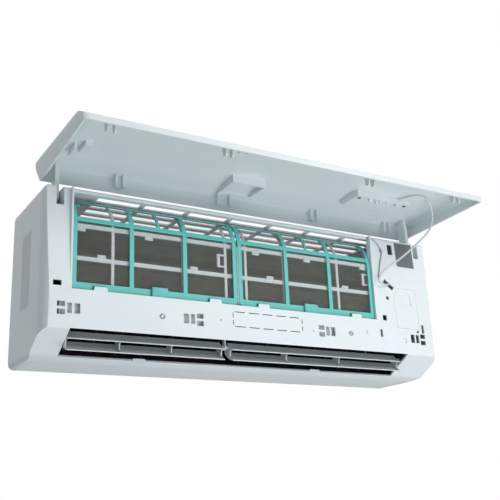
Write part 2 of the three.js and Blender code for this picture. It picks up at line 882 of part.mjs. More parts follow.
function fanWheel() {
  const blade = strip([[bladeInner, -3], [fanRadius - 0.5, 5]], -0.8, 0.8);
  const frame = new THREE.Matrix4();
  const parts = [];
  for (let i = 0; i < bladeCount; i += 1) {
    frame.makeRotationX((i / bladeCount) * 2 * Math.PI).multiply(sideFrame);
    frame.setPosition(0, -fanDepth, fanHeight);
    parts.push(extruded(blade, frame, fanLeft + 0.4, fanRight - 0.4));
  }
  const pitch = (fanRight - fanLeft - discThickness) / (discCount - 1);
  for (let i = 0; i < discCount; i += 1) {
    const left = fanLeft + i * pitch;
    const disc = rodX(fanDepth, fanHeight, 40, left, left + discThickness, 20);
    const isEnd = i === 0 || i === discCount - 1;
    const opening = rodX(fanDepth, fanHeight, 30, left - 1, left + discThickness + 1, 16);
    parts.push(isEnd ? disc : disc.subtract(opening));
  }
  parts.push(rodX(fanDepth, fanHeight, stubRadius, endWallLeft - 1.5, fanLeft + 1, 10));
  parts.push(rodX(fanDepth, fanHeight, 10, fanRight - 14, fanRight, 12));
  const bore = rodX(fanDepth, fanHeight, hubBore, fanRight - 12, fanRight + 1, 12);
  return joined(parts).subtract(bore);
}

node('fan_wheel', fanWheel(), 'fan');

const shaftSeat = motorLeft + 8;
node('motor_shaft', rodX(fanDepth, fanHeight, shaftRadius, fanRight - 11.7, shaftSeat - 0.3, 12), 'screw');

function fanBearing() {
  const bush = rodX(fanDepth, fanHeight, 12 - fit, ductWallLeft - 2, endWallLeft + 6, 16);
  const flange = rodX(fanDepth, fanHeight, 14, endWallLeft + fit, endWallLeft + 3, 16);
  const bore = rodX(fanDepth, fanHeight, bearingBore, ductWallLeft - 0.5, endWallLeft + 8, 12);
  return bush.add(flange).subtract(bore);
}

node('fan_bearing', fanBearing(), 'rubber');

function fanMotor() {
  const can = rodX(fanDepth, fanHeight, 38, motorLeft + 3, motorRight, 24);
  const nose = rodX(fanDepth, fanHeight, 16, motorLeft, motorLeft + 4, 16);
  return can.add(nose).subtract(rodX(fanDepth, fanHeight, shaftRadius + fit, motorLeft - 1, shaftSeat, 12));
}

node('fan_motor', fanMotor(), 'motor');

function motorClamp() {
  const ring = rodX(fanDepth, fanHeight, 41.5, 342, 388, 24);
  const hole = rodX(fanDepth, fanHeight, 38 + fit, 341, 389, 24);
  const top = box(330, 400, 150, 20, fanHeight + fit, fanHeight + 60);
  const feet = [[131, 126], [46.5, 34]].map(([front, back]) => {
    return box(342, 388, front, back, fanHeight + fit, fanHeight + fit + 2);
  });
  return ring.intersect(top).add(feet[0]).add(feet[1]).subtract(hole);
}

node('motor_clamp', motorClamp(), 'chassis');

// ---------------------------------------------------------------- louvres

const supportHalf = 1.5;
const supportMiddle = -70;
const louverGap = 6.5; // from the middle support's face to each louvre
const louvers = {
  louver_left: {
    left: outletLeft + 1,
    right: supportMiddle - supportHalf - louverGap,
    ribs: [-271, -177],
    pins: [endWallLeft - 1, supportMiddle - 0.3],
  },
  louver_right: {
    left: supportMiddle + supportHalf + louverGap,
    right: 322,
    ribs: [56, 176],
    pins: [supportMiddle + 0.3, ductWallRight + 1.5],
  },
};

const lowerBlade = strip([[-166, 8], [-156, 10.6], [-145, 17], [-135, 27]], 0, 1.8);
const upperBlade = strip([[-166, 28], [-156, 34.5], [-146, 43]], -1.8, 0);
const louverRib = [
  [-165.5, 28],
  [-157, 26],
  [-155, 17],
  [-165.5, 8.8],
  [-150, 14.5],
  [-136, 27],
  [-142, 36],
  [-146.4, 42],
];

function louver({ left, right, ribs, pins }) {
  const parts = [alongX(lowerBlade, left, right), alongX(upperBlade, left, right)];
  for (const x of [left, ...ribs, right - 2]) {
    parts.push(alongX(outline(louverRib), x, x + 2));
  }
  const [from, to] = pins;
  parts.push(rodX(louverDepth, louverHeight, louverPin, from, left + 1.5, 8));
  parts.push(rodX(louverDepth, louverHeight, louverPin, right - 1.5, to, 8));
  return joined(parts);
}

for (const [name, part] of Object.entries(louvers)) node(name, louver(part), 'louver');

function centreSupport() {
  const left = supportMiddle - supportHalf;
  const right = supportMiddle + supportHalf;
  const plate = outline([[-154, 34], [-146, 34], [-146, 63.4], [-154, 58.8]]);
  const body = alongX(plate, left, right).add(rodX(louverDepth, louverHeight, 6, left, right, 14));
  return body.subtract(rodX(louverDepth, louverHeight, louverPin + fit, left - 1, right + 1, 12));
}

node('louver_centre_support', centreSupport(), 'louver');

function louverMotor() {
  const left = ductWallRight + fit;
  const can = rodX(louverDepth - 4, louverHeight + 6, 12, left, left + 16, 16);
  return can.subtract(rodX(louverDepth, louverHeight, louverPin + fit, left - 1, left + 1.5, 12));
}

node('louver_motor', louverMotor(), 'motor');

// ---------------------------------------------------------------- vanes

const vaneThickness = 1.6;
const linkPivot = 52;
const linkPin = 1.4;
const linkLow = -30.5;
const linkHigh = -27.5;
const vaneCorners = [
  [24, vaneFoot],
  [58, vaneFoot],
  [47, 22],
  [24, 24],
];

function vane(x) {
  const blade = inDuct(vaneCorners, x - vaneThickness / 2, x + vaneThickness / 2);
  const pivot = rodAcross(x, vanePivot, vanePin, pinFoot, vaneFoot + 4, 6);
  const crank = rodAcross(x, linkPivot, linkPin, linkLow - 0.5, vaneFoot + 3, 6);
  return joined([blade, pivot, crank]);
}

function vaneLink(start) {
  const places = vanePlaces(start);
  const corners = [[linkPivot - 3, linkLow], [linkPivot + 3, linkLow], [linkPivot + 3, linkHigh]];
  corners.push([linkPivot - 3, linkHigh]);
  let bar = inDuct(corners, places[0] - 5, places[vanesPerSide - 1] + 5);
  for (const x of places) {
    bar = bar.subtract(rodAcross(x, linkPivot, linkPin + 0.5, linkLow - 1, linkHigh + 1, 6));
  }
  return bar;
}

['left', 'right'].forEach((side, i) => {
  vanePlaces(vaneStarts[i]).forEach((x, k) => node(`vane_${side}_${k + 1}`, vane(x), 'duct'));
  node(`vane_link_${side}`, vaneLink(vaneStarts[i]), 'duct');
});

// ---------------------------------------------------------------- filters

const filterFoot = filterSill + 0.6;
const filterBend = 215; // height where the filter starts to curve back
const filterBendRadius = 60;
const filterBar = 8;
const filterFootBar = 13;
const filterBays = 3;
const filterLine = [
  [-filterDepth, filterFoot],
  ...arc(filterBendRadius - filterDepth, filterBend, filterBendRadius, 180, 118, 4),
];

// a piece of the filter's curved sheet; offsets are measured backwards from its middle
function filterSheet(left, right, from, to) {
  return alongX(strip(filterLine, -to, -from), left, right);
}

function filterFrame(start) {
  const skin = filterThickness / 2;
  const end = start + filterWidth;
  const front = outline([[start, filterFoot, 9], [end, filterFoot, 9], [end, 300], [start, 300]]);
  let body = filterSheet(start, end, -skin, skin).intersect(throughFace(front, 200, 100));
  const pitch = (filterWidth - filterBar) / filterBays;
  for (let i = 0; i < filterBays; i += 1) {
    const left = start + filterBar + i * pitch;
    const right = left + pitch - filterBar;
    body = body.subtract(box(left, right, 180, 100, filterFoot + filterFootBar, 222));
    body = body.subtract(box(left, right, 180, 100, 222 + filterBar, 262));
  }
  for (const offset of tongueOffsets) {
    const left = start + offset - 1;
    body = body.subtract(box(left, left + tongueWidth + 2, 180, 160, 100, tongueTop + 1));
  }
  const middleBay = start + filterBar + pitch + (pitch - filterBar) / 2;
  const shortBar = filterSheet(middleBay - 2.5, middleBay + 2.5, -skin, skin);
  body = body.add(shortBar.intersect(box(middleBay - 3, middleBay + 3, 180, 100, 226, 264)));
  for (const x of [start + filterBar - 1, start + filterWidth - filterBar - 8]) {
    const tab = filterSheet(x, x + 9, -skin, skin);
    body = body.add(tab.intersect(box(x, x + 9, 180, 100, 250, 257)));
  }
  const grip = start + filterWidth / 2;
  body = body.add(box(grip - 14.5, grip + 14.5, filterDepth + 5, filterDepth, filterFoot, filterFoot + 9));
  return body;
}

const netColumns = 5;
const netRows = 5;
const netBar = 2;

function filterNet(start) {
  const back = filterThickness / 2 + 0.3;
  const left = start + filterBar / 2;
  const width = filterWidth - filterBar;
  const low = filterFoot + filterFootBar - 4;
  const whole = filterSheet(left, left + width, back, back + 0.6);
  let body = whole.intersect(box(left, left + width, 200, 50, low, 300));
  const columnPitch = (width - netBar) / netColumns;
  const rowPitch = (265 - low - netBar) / netRows;
  for (let i = 0; i < netColumns; i += 1) {
    for (let k = 0; k < netRows; k += 1) {
      const x = left + netBar + i * columnPitch;
      const z = low + netBar + k * rowPitch;
      body = body.subtract(box(x, x + columnPitch - netBar, 200, 50, z, z + rowPitch - netBar));
    }
  }
  return body;
}

['left', 'right'].forEach((side, i) => {
  node(`filter_frame_${side}`, filterFrame(filterStarts[i]), 'filter');
  node(`filter_net_${side}`, filterNet(filterStarts[i]), 'net');
});


// lattice that the filters lean on, between the two guides of the front frame
function filterSupport() {
  const left = filterLeft + fit;
  const right = filterRight - fit;
  const near = filterDepth - guideDepth - 2.5;
  const parts = [left, -292, -162, -77, -35, 48, 173, right - 5].map((x) => {
    return filterSheet(x, x + 5, near, near + 2.5);
  });
  for (const z of [156, 212]) {
    parts.push(box(left, right, filterDepth - near, guideDepth, z, z + 7));
  }
  parts.push(box(left, right, filterDepth - near, guideDepth, filterFoot, filterFoot + 4));
  return joined(parts);
}

node('filter_support', filterSupport(), 'chassis');

// ---------------------------------------------------------------- electrical pieces

const eBoxLeft = 318;
const eBoxRight = 402;
const eBoxGap = 5.3; // between the box and the face
const eBoxBack = coilFeetFront + fit;
const eBoxLow = 99;
const eBoxHigh = 236;
const eBoxFront = Math.min(faceDepth(eBoxLow), faceDepth(eBoxHigh)) - wall - eBoxGap;
const eBoxWall = 2;
const boardPosts = [[328, 178], [392, 178], [328, 226], [392, 226]];
const boardBack = eBoxBack + 13;

function electricalBox() {
  const outer = box(eBoxLeft, eBoxRight, eBoxFront, eBoxBack, eBoxLow, eBoxHigh);
  const [left, right] = [eBoxLeft + eBoxWall, eBoxRight - eBoxWall];
  const [low, high] = [eBoxLow + eBoxWall, eBoxHigh - eBoxWall];
  const inner = box(left, right, eBoxFront + 5, eBoxBack + eBoxWall, low, high);
  let body = outer.subtract(inner);
  for (const [x, z] of boardPosts) {
    body = body.add(rodY(x, z, 3, boardBack - 0.3, eBoxBack + 1, 8));
  }
  return body;
}

node('electrical_box', electricalBox(), 'grille');

function controlBoard() {
  const thickness = 1.6;
  const front = boardBack + thickness;
  let body = box(322, 398, front, boardBack, 172, 232);
  body = body.add(box(330, 352, front + 14, front - 0.5, 184, 202));
  body = body.add(box(362, 388, front + 11, front - 0.5, 206, 222));
  return body.add(rodY(375, 190, 6, front + 16, front - 0.5, 12));
}

node('control_board', controlBoard(), 'board');

function terminalBlock() {
  const back = eBoxBack + eBoxWall + fit;
  let body = box(322, 366, back + 14, back, 104, 165);
  for (let i = 0; i < 4; i += 1) {
    const z = 109 + i * 14;
    body = body.subtract(box(325, 341, back + 15, back + 6, z, z + 10));
    body = body.subtract(box(347, 363, back + 15, back + 6, z, z + 10));
  }
  return body;
}

node('terminal_block', terminalBlock(), 'terminal');

// ---------------------------------------------------------------- front panel

// the panel is drawn shut, then swung open about its hinge
const hinge = new THREE.Group();
hinge.position.set(0, -hingeDepth, hingeHeight);
hinge.rotation.x = -rad(panelOpenAngle);
const panel = new THREE.Group();
panel.position.set(0, hingeDepth, -hingeHeight);
hinge.add(panel);
unit.add(hinge);

const rimTopDepth = 176;
const rimFootDepth = 187.5;

// side section; reach moves the open rim towards the wall
function panelSideCorners(reach) {
  return [
    [-198, panelBottom + 1],
    [-rimFootDepth + reach, panelBottom],
    [-rimTopDepth + reach, panelTop - 4],
    [-205, panelTop, 2],
    [-212, 282, 6],
    [-219, 250, 20],
    [-226, 205, 24],
    [-panelCrownDepth, 150, 24],
    [-221.5, 110, 20],
    [-212, 84, 12],
  ];
}

const panelPlanCorners = mirrored([
  [-panelRimHalfWidth, -168],
  [-panelHalfWidth, -205, 6],
  [-panelHalfWidth + 7, -217, 6],
  [-panelHalfWidth + 34, -221, 12],
  [-200, -226, 40],
  [-70, -panelCrownDepth, 40],
]);

const panelFrontCorners = mirrored([
  [-panelHalfWidth, panelTop, 10],
  [-panelHalfWidth, panelBottom, 16],
]);

function panelBlock(inset, reach) {
  const side = alongX(outline(panelSideCorners(reach), inset), -430, 430, 2);
  const plan = alongZ(outline(panelPlanCorners, inset), 40, 300, 2);
  const front = throughFace(outline(panelFrontCorners, inset), 300, 100, 4);
  return side.intersect(plan).intersect(front);
}

function panelArm(side) {
  const left = side * armOffset - armThickness / 2;
  const right = left + armThickness;
  const bar = outline([[-hingeDepth, 252], [-hingeDepth, 273], [-216, 273], [-216, 256, 3], [-180, 252, 8]]);
  const parts = [alongX(bar, left, right), rodX(hingeDepth, 262.5, 10.5, left, right, 16)];
  const tip = armThickness / 2 + slotGap + cheek;
  parts.push(rodX(hingeDepth, hingeHeight, pivotRadius, side * armOffset - tip, side * armOffset + tip, 12));
  return joined(parts);
}

// latch tongues that enter the two single windows of each group
function latchTongues(group) {
  return latchSingles.flatMap(([from, to]) => {
    const middle = (from + to) / 2;
    const [left, right] = span(group, middle - 1.6, middle + 1.6);
    const arm = outline([[-209, 62], [-181.5, 66], [-180.5, 70], [-181.5, 75], [-209, 80]]);
    return alongX(arm, left, right);
  });
}

function frontPanel() {
  const inside = panelBlock(panelWall, 20);
  const parts = latchGroups.flatMap(latchTongues);
  parts.push(box(-65, 5, 230, 206, 212, 272).subtract(box(-62, 2, 240, 200, 215, 269)));
  parts.push(box(-358, -345, 230, 210, 185, 220));
  parts.push(box(-372, -369, 230, 206, 200, 234));
  parts.push(box(-125, -108, 230, 200, 62, 90).subtract(box(-122, -111, 240, 199, 58, 86)));
  for (const [x, size] of [[-262, 8], [-50, 14], [160, 8], [350, 8]]) {
    parts.push(box(x - size, x + size, 209, 186, 274, 292).subtract(box(x - size + 2, x + size - 2, 212, 180, 270, 283)));
  }
  const fittings = joined(parts).intersect(panelBlock(0.6, 20));
  const shell = panelBlock(0, 0).subtract(inside);
  return joined([shell, fittings, panelArm(-1), panelArm(1)]);
}

node('front_panel', frontPanel(), 'panel', panel);

// display module on the panel's inner skin
const displayLeft = 196;
const displayRight = 330;
const displayLow = 175;
const displayHigh = 231;
const displayFace = 209;

function displayHousing() {
  const outer = box(displayLeft, displayRight, 240, displayFace, displayLow, displayHigh);
  const inner = box(displayLeft + 2, displayRight - 2, 240, displayFace + 2, displayLow + 2, displayHigh - 2);
  let body = outer.subtract(inner).intersect(panelBlock(panelWall + fit, 20));
  for (const x of [displayLeft + 5, displayRight - 5]) {
    body = body.subtract(rodY(x, displayLow + 5, 1.6, displayFace + 3, displayFace - 1, 8));
  }
  return body;
}

node('display_housing', displayHousing(), 'panel', panel);

function displayBoard() {
  const back = displayFace + 2 + fit;
  const [left, right] = [displayLeft + 2 + fit, displayRight - 2 - fit];
  const board = box(left, right, back + 1.6, back, displayLow + 2 + fit, displayHigh - 2 - fit);
  const digits = box(238, 288, back + 5, back + 1, 190, 216);
  return board.add(digits);
}

node('display_board', displayBoard(), 'board', panel);

// ---------------------------------------------------------------- cables

// from the display housing, over the panel's right end and down into the slot in the face
const displayCableRadius = 1.9;
const displayCableRoute = [
  [300, -233.5, 345],
  [306, -250, 345],
  [320, -266, 344.5],
  [345, -264, 343],
  [372, -248, 334],
  [388, -230, 313],
  [386, -219, 295],
  [359, -211, 267],
  [317, -203, 232],
  [291, -197, 214],
  [272, -194, 198],
  [266, -190, 184],
  [277, -187, 176],
  [289, -185, 178],
  [297, -180, 180],
  [300, -172, 182],
  [307, -162, 187],
  [eBoxLeft - 5, -158, 189],
  [eBoxLeft - 0.5, -158, 189],
];
node('display_cable', tube(displayCableRoute, displayCableRadius, 8, 46), 'wire');

// thin lead of the air sensor, lying on the face
const sensorRadius = 1.2;
const sensorRoute = [[262, 274], [274, 272], [285, 259], [290, 250], [284, 230], [273, 192]].map(([x, z]) => {
  return [x, -(faceDepth(z) + sensorRadius + 0.4), z];
});
node('sensor_lead', tube(sensorRoute, sensorRadius, 6, 18), 'darkWire');

export default unit;
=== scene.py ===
# Wall-hung air conditioner with its front panel swung open. Metres: X runs along the unit, +Y goes
# into the wall, +Z is up, and the origin is the middle of the mounting plate's wall face.

import math

import bpy
from mathutils import Matrix, Vector


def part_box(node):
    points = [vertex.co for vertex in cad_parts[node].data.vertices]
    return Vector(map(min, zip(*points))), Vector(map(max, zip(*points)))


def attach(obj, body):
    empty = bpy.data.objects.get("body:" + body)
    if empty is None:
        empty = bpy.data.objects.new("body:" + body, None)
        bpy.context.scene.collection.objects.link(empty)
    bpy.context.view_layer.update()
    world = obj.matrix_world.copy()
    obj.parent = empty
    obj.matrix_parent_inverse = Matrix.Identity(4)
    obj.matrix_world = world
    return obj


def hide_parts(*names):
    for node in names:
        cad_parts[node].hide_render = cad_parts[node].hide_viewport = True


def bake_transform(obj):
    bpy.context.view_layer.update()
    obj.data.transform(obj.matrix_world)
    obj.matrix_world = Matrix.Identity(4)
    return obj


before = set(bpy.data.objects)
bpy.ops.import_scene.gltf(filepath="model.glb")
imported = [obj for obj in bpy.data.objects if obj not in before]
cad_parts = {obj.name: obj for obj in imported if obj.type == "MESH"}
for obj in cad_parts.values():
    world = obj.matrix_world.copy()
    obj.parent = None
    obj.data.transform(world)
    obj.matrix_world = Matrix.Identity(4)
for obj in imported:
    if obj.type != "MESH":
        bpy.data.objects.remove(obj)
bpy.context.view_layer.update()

# ---- Viewpoint
# The unit hangs on a wall and is seen from its lower left, a metre and a half away, so the eye looks
# up under the open panel and into the air outlet.

camera_data = bpy.data.cameras.new("viewpoint")
camera_data.lens = 58.91
camera_data.sensor_width = 36
camera_data.clip_start = 0.05
camera = bpy.data.objects.new("viewpoint", camera_data)
camera.location = (-0.7713, -1.4007, -0.4147)
camera.rotation_euler = (math.radians(107.719), math.radians(2.292), math.radians(-30.666))
bpy.context.scene.collection.objects.link(camera)
bpy.context.scene.camera = camera

# ---- Display cable
# A four-core lead in a pale braided sleeve. It leaves the display housing, droops past the panel's
# right end and goes back through the slot in the face to the control board.


def clear_selection():
    if bpy.context.mode != "OBJECT":
        bpy.ops.object.mode_set(mode="OBJECT")
    bpy.ops.object.select_all(action="DESELECT")


def place(tree, kind, inputs=(), **settings):
    """A node of a material or node group, with its settings and plain inputs filled in."""
    step = tree.nodes.new(kind)
    for name, value in settings.items():
        setattr(step, name, value)
    for socket, value in dict(inputs).items():
        if isinstance(value, bpy.types.NodeSocket):
            tree.links.new(value, step.inputs[socket])
        else:
            step.inputs[socket].default_value = value
    return step


def new_finish(name, roughness, metallic=0.0):
    """An empty finish: its node tree and its shader, ready for what varies over the surface."""
    finish = bpy.data.materials.new(name)
    finish.use_nodes = True
    shader = finish.node_tree.nodes["Principled BSDF"]
    shader.inputs["Roughness"].default_value = roughness
    shader.inputs["Metallic"].default_value = metallic
    return finish, finish.node_tree, shader


def smooth_route(corners, per_gap):
    """Points along one smooth line through the corners."""
    line = [Vector(corner) for corner in corners]
    line = [2 * line[0] - line[1]] + line + [2 * line[-1] - line[-2]]
    route = []
    for a, b, c, d in zip(line, line[1:], line[2:], line[3:]):
        tb = (b - a).length ** 0.5
        tc = tb + (c - b).length ** 0.5
        td = tc + (d - c).length ** 0.5
        for k in range(per_gap):
            t = tb + (tc - tb) * k / per_gap
            ab = (a * (tb - t) + b * t) / tb
            bc = (b * (tc - t) + c * (t - tb)) / (tc - tb)
            cd = (c * (td - t) + d * (t - tc)) / (td - tc)
            abc = (ab * (tc - t) + bc * t) / tc
            bcd = (bc * (td - t) + cd * (t - tb)) / (td - tb)
            route.append((abc * (tc - t) + bcd * (t - tb)) / (tc - tb))
    route.append(line[-2])
    return route


def drawn_tube(name, route, radius, sides):
    """A closed tube round a route. Its UV map runs in radii along the tube and once round it."""
    rings, along = [], [0.0]
    forward = (route[1] - route[0]).normalized()
    side = forward.orthogonal().normalized()
    for i, point in enumerate(route):
        ahead = (route[min(i + 1, len(route) - 1)] - route[max(i - 1, 0)]).normalized()
        side = (side - ahead * side.dot(ahead)).normalized()
        up = ahead.cross(side)
        rings.append([point + radius * (math.cos(a) * side + math.sin(a) * up)
                      for a in (2 * math.pi * k / sides for k in range(sides))])
        if i:
            along.append(along[-1] + (point - route[i - 1]).length / radius)
    corners = [tuple(corner) for ring in rings for corner in ring]
    faces, places = [], []
    for i in range(len(route) - 1):
        for k in range(sides):
            n = (k + 1) % sides
            faces.append((i * sides + k, i * sides + n, (i + 1) * sides + n, (i + 1) * sides + k))
            places += [(along[i], k / sides), (along[i], (k + 1) / sides),
                       (along[i + 1], (k + 1) / sides), (along[i + 1], k / sides)]
    last = (len(route) - 1) * sides
    faces += [tuple(range(sides))[::-1], tuple(range(last, last + sides))]
    places += [(0, 0)] * sides + [(along[-1], 0)] * sides
    mesh = bpy.data.meshes.new(name)
    mesh.from_pydata(corners, [], faces)
    layer = mesh.uv_layers.new(name="along")
    layer.data.foreach_set("uv", [value for place_ in places for value in place_])
    mesh.polygons.foreach_set("use_smooth", [len(face) == 4 for face in faces])
    mesh.update()
    tube = bpy.data.objects.new(name, mesh)
    bpy.context.scene.collection.objects.link(tube)
    return tube


def sleeve_finish(name, colour, ridges):
    """A thin plastic sleeve with a fine spiral braid drawn on the tube's own UV map."""
    finish, tree, shader = new_finish(name, 0.55)
    uv = place(tree, "ShaderNodeUVMap", uv_map="along")
    stretched = place(tree, "ShaderNodeMapping", {"Vector": uv.outputs["UV"], "Scale": (ridges, 1.0, 1.0)})
    braid = place(tree, "ShaderNodeTexWave",
                  {"Vector": stretched.outputs["Vector"], "Scale": 1.0, "Distortion": 0.6},
                  bands_direction="DIAGONAL")
    ramp = place(tree, "ShaderNodeValToRGB", {"Fac": braid.outputs["Fac"]})
    ramp.color_ramp.elements[0].color = [c * 0.78 for c in colour] + [1]
    ramp.color_ramp.elements[1].color = [*colour, 1]
    tree.links.new(ramp.outputs["Color"], shader.inputs["Base Color"])
    bump = place(tree, "ShaderNodeBump",
                 {"Strength": 0.4, "Distance": 0.0002, "Height": braid.outputs["Fac"]})
    tree.links.new(bump.outputs["Normal"], shader.inputs["Normal"])
    return finish


cable_radius = 0.0019
cable_corners = [
    (0.300, -0.2335, 0.175), (0.306, -0.250, 0.175), (0.320, -0.266, 0.1745), (0.345, -0.264, 0.173),
    (0.372, -0.248, 0.164), (0.388, -0.230, 0.143), (0.386, -0.219, 0.125), (0.359, -0.211, 0.097),
    (0.317, -0.203, 0.062), (0.291, -0.197, 0.044), (0.272, -0.194, 0.028), (0.266, -0.190, 0.014),
    (0.277, -0.187, 0.006), (0.289, -0.185, 0.008), (0.297, -0.180, 0.010), (0.300, -0.172, 0.012),
    (0.307, -0.162, 0.017), (0.313, -0.158, 0.019), (0.3175, -0.158, 0.019),
]
cable_route = smooth_route(cable_corners, 9)
cable = drawn_tube("display_lead", cable_route, cable_radius, 16)
cable.data.materials.append(sleeve_finish("cable_sleeve", (0.74, 0.78, 0.78), 0.35))
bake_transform(cable)
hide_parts("display_cable")

# ---- Front frame
# The face, ends, top grille and outlet lip are one ABS moulding, screwed to the drain pan's bosses.
# Thin knock-out slits, two pin holes and a sensor hole are cut through its face; their cut walls are painted
# near-black as painted shade inside them.

skin = bpy.data.node_groups.new("moulding_skin", "ShaderNodeTree")
for socket, kind in (("Vector", "NodeSocketVector"), ("Colour", "NodeSocketColor"),
                     ("Drift", "NodeSocketFloat"), ("Roughness", "NodeSocketFloat"),
                     ("Grain", "NodeSocketFloat")):
    skin.interface.new_socket(name=socket, in_out="INPUT", socket_type=kind)
for socket, kind in (("Colour", "NodeSocketColor"), ("Roughness", "NodeSocketFloat"),
                     ("Height", "NodeSocketFloat")):
    skin.interface.new_socket(name=socket, in_out="OUTPUT", socket_type=kind)
skin_in = place(skin, "NodeGroupInput").outputs
flow = place(skin, "ShaderNodeTexNoise", {"Vector": skin_in["Vector"], "Scale": 7.0, "Detail": 3.0})
flow_range = place(skin, "ShaderNodeMath", {0: flow.outputs["Fac"], 1: 0.5}, operation="SUBTRACT")
flow_drift = place(skin, "ShaderNodeMath", {0: flow_range.outputs[0], 1: skin_in["Drift"]},
                   operation="MULTIPLY")
flow_level = place(skin, "ShaderNodeMath", {0: flow_drift.outputs[0], 1: 1.0}, operation="ADD")
tinted = place(skin, "ShaderNodeVectorMath", {0: skin_in["Colour"], "Scale": flow_level.outputs[0]},
               operation="SCALE")
grain = place(skin, "ShaderNodeTexNoise",
              {"Vector": skin_in["Vector"], "Scale": skin_in["Grain"], "Detail": 2.0})
sheen = place(skin, "ShaderNodeMapRange", {"Value": grain.outputs["Fac"], "To Min": -0.06, "To Max": 0.06})
skin_rough = place(skin, "ShaderNodeMath", {0: sheen.outputs[0], 1: skin_in["Roughness"]}, operation="ADD")
place(skin, "NodeGroupOutput", {"Colour": tinted.outputs[0], "Roughness": skin_rough.outputs[0],
                                "Height": grain.outputs["Fac"]})


def moulded(name, colour, roughness, grain_scale=900.0, drift=0.06, depth=0.00003):
    """A moulded plastic: its colour drifts slightly over the piece, under a fine spark-eroded grain."""
    finish, tree, shader = new_finish(name, roughness)
    where = place(tree, "ShaderNodeTexCoord").outputs["Object"]
    surface = tree.nodes.new("ShaderNodeGroup")
    surface.node_tree = skin
    for socket, value in (("Colour", (*colour, 1)), ("Drift", drift), ("Roughness", roughness),
                          ("Grain", grain_scale)):
        surface.inputs[socket].default_value = value
    tree.links.new(where, surface.inputs["Vector"])
    bump = place(tree, "ShaderNodeBump",
                 {"Strength": 0.5, "Distance": depth, "Height": surface.outputs["Height"]})
    tree.links.new(surface.outputs["Colour"], shader.inputs["Base Color"])
    tree.links.new(surface.outputs["Roughness"], shader.inputs["Roughness"])
    tree.links.new(bump.outputs["Normal"], shader.inputs["Normal"])
    return finish


def apply_all(piece):
    clear_selection()
    bpy.context.view_layer.objects.active = piece
    piece.select_set(True)
    for modifier in list(piece.modifiers):
        bpy.ops.object.modifier_apply(modifier=modifier.name)


def dressed(node, finish, edge=0.0004, crisp=32, cutter=None, inner=None, merge=True):
    """A node's own shape as one welded surface, with its sharp edges rounded as a mould leaves them.
    inner is a second finish and the test that says which faces, by their middle, wear it.
    merge makes one face of what lies flat, which an open lattice can't take."""
    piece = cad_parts[node].copy()
    piece.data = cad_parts[node].data.copy()
    piece.name = node + "_moulding"
    piece.parent = None
    for key in list(piece.keys()):
        if key.startswith("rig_"):
            del piece[key]
    bpy.context.scene.collection.objects.link(piece)
    clear_selection()
    bpy.context.view_layer.objects.active = piece
    piece.select_set(True)
    bpy.ops.mesh.customdata_custom_splitnormals_clear()
    bpy.ops.object.mode_set(mode="EDIT")
    bpy.ops.mesh.select_all(action="SELECT")
    bpy.ops.mesh.remove_doubles(threshold=0.000002)
    if merge:
        bpy.ops.mesh.dissolve_limited(angle_limit=math.radians(0.4))
    bpy.ops.object.mode_set(mode="OBJECT")
    piece.data.materials.clear()
    piece.data.materials.append(finish)
    if inner:
        piece.data.materials.append(inner[0])
        for face in piece.data.polygons:
            face.material_index = int(inner[1](face.center))
    if cutter:
        cut = piece.modifiers.new("cut", "BOOLEAN")
        cut.object = cutter
        cut.operation = "DIFFERENCE"
        cut.solver = "EXACT"
        cut.material_mode = "TRANSFER"
    if edge:
        bevel = piece.modifiers.new("edges", "BEVEL")
        bevel.width = edge
        bevel.segments = 2
        bevel.limit_method = "ANGLE"
        bevel.angle_limit = math.radians(crisp + 2)
    apply_all(piece)
    bpy.ops.object.shade_smooth_by_angle(angle=math.radians(crisp))
    even = piece.modifiers.new("even", "WEIGHTED_NORMAL")
    even.keep_sharp = True
    apply_all(piece)
    return piece


def seat(piece, body, slot, *nodes):
    """The piece rides its body and stands for the nodes it replaces; slot is not used."""
    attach(piece, body)
    if nodes:
        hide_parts(*nodes)
    return piece


casing_white = moulded("casing_white", (0.77, 0.82, 0.845), 0.42)
# Painted shade: this near-black, which the cut walls of the slits and holes take, stands in for the shade
# inside them. The display's two screw heads wear it too.
slit_shade_and_dark_heads = moulded("slit_shade_and_dark_heads", (0.03, 0.034, 0.036), 0.7)
face_top = 0.110
face_top_depth = 0.174
face_slope = 0.0115 / 0.220


def face_depth(height):
    """Depth from the wall of the face's outer surface at a height."""
    return face_top_depth + (face_top - height) * face_slope


def face_block(left, right, low, high, above, below):
    """A block through the face's surface; it stands 'above' out of it and 'below' into it."""
    clear_selection()
    middle = (low + high) / 2
    centre = ((left + right) / 2, -face_depth(middle) + (below - above) / 2, middle)
    bpy.ops.mesh.primitive_cube_add(size=1, location=centre)
    block = bpy.context.object
    block.scale = (right - left, above + below, high - low)
    block.rotation_euler = (-math.atan(face_slope), 0, 0)
    bpy.ops.object.transform_apply(location=True, rotation=True, scale=True)
    return block


def joined(name, blocks):
    clear_selection()
    for block in blocks:
        block.select_set(True)
    bpy.context.view_layer.objects.active = blocks[0]
    if len(blocks) > 1:
        bpy.ops.object.join()
    blocks[0].name = name
    return blocks[0]


